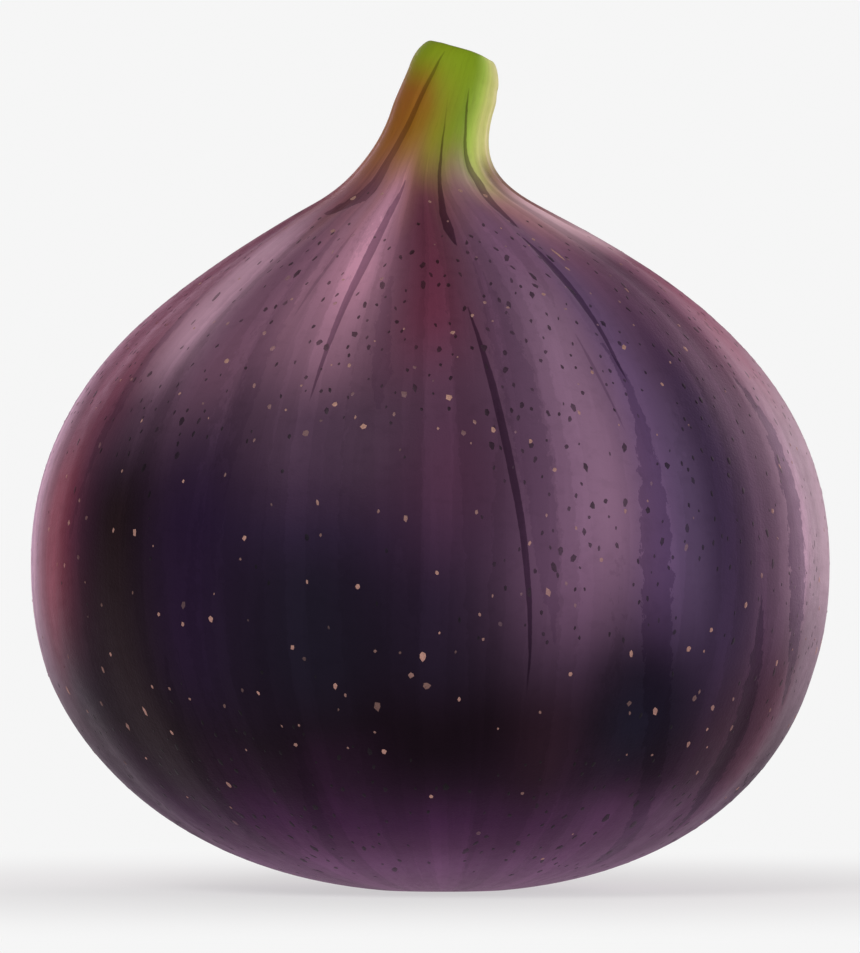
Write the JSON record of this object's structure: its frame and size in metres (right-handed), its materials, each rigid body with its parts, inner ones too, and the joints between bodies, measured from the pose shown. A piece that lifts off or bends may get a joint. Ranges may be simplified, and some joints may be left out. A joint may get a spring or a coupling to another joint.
{
  "type": "fresh fig",
  "caption": "Fresh dark purple fig with a leaning cut green stalk, shallow folds down its skin and a small closed eye beneath, standing on its flattened base.",
  "frame": {"origin": "middle of the base, where the fig meets the surface that it stands on, below the centre of the box around it", "axes": "+Z from the base up to the stalk, -Y towards the side that the picture shows, +X to that view's right, the way the stalk leans"},
  "size_m": [0.056, 0.0542, 0.0595],
  "materials": {
    "fig": "satin"
  },
  "bodies": {
    "root": {"fig": "fig"}
  },
  "joints": []
}
